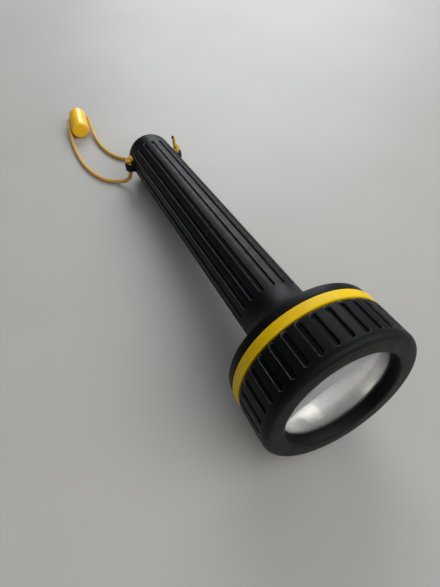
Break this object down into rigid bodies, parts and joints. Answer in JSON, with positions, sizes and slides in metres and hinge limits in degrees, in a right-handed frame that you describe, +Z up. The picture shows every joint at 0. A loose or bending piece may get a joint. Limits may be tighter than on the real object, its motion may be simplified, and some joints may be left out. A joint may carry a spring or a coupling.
{
  "type": "firefighter flashlight",
  "caption": "Black twist-head flashlight with a ribbed bezel, fluted barrel, yellow band and a yellow cord-lock lanyard, lying on its side.",
  "frame": {"origin": "on the resting surface, under the middle of the flashlight's own box, lanyard left out", "axes": "+X the way the beam points, +Y to the flashlight's left seen from behind, +Z up; the flashlight's axis leans 5.8 degrees nose up, because the wide head and the narrow tail both rest on z = 0"},
  "size_m": [0.3705, 0.0915, 0.0822],
  "materials": {
    "moulded_black": "satin, fine moulded texture",
    "band_yellow": "satin",
    "seal_rubber": "matte",
    "clear_lens": "polished",
    "reflector_mirror": "vacuum metallised",
    "inner_plastic": "moulded",
    "contact_brass": "bright",
    "bulb_glass": "polished",
    "spring_steel": "drawn wire",
    "cell_can": "plain sleeve",
    "cord_yellow": "braided",
    "lock_yellow": "gloss"
  },
  "bodies": {
    "housing": {"barrel": "moulded_black", "colour_band": "band_yellow", "bezel_o_ring": "seal_rubber", "contact_ring": "contact_brass", "contact_strip": "contact_brass", "tail_plate": "contact_brass", "tail_spring": "spring_steel", "lanyard_cord": "cord_yellow", "left_knot": "cord_yellow", "right_knot": "cord_yellow", "lock_barrel": "lock_yellow", "lock_spring": "spring_steel"},
    "cell_stack": {"cell_1": "cell_can", "cell_2": "cell_can", "cell_3": "cell_can", "cell_4": "cell_can"},
    "bezel_unit": {"bezel": "moulded_black", "lens": "clear_lens", "lens_gasket": "seal_rubber", "reflector": "reflector_mirror", "reflector_retainer": "inner_plastic", "bulb_base": "contact_brass", "bulb_glass": "bulb_glass", "filament": "spring_steel", "bulb_holder": "inner_plastic", "bulb_spring": "spring_steel", "switch_plate": "contact_brass"},
    "plunger": {"lock_plunger": "lock_yellow"}
  },
  "joints": [
    {"name": "cell_travel", "type": "slide", "parent": "housing", "child": "cell_stack", "axis": [0.9949, 0, 0.1006], "range_m": [-0.00075, 0.0045], "deforming": ["tail_spring"]},
    {"name": "bezel_twist", "type": "hinge", "parent": "cell_stack", "child": "bezel_unit", "pos_m": [0.12896, 0, 0.04269], "axis": [0.9949, 0, 0.1006], "range_deg": [-90, 540]},
    {"name": "lock_press", "type": "slide", "parent": "housing", "child": "plunger", "axis": [0.989, -0.1478, 0], "range_m": [0, 0.003], "stiffness_N_per_m": 400, "springref_m": -0.004, "deforming": ["lock_spring"]}
  ],
  "couplings": [
    {"joint": "bezel_twist", "follows": "cell_travel", "rad_per_m": 2094.4}
  ]
}
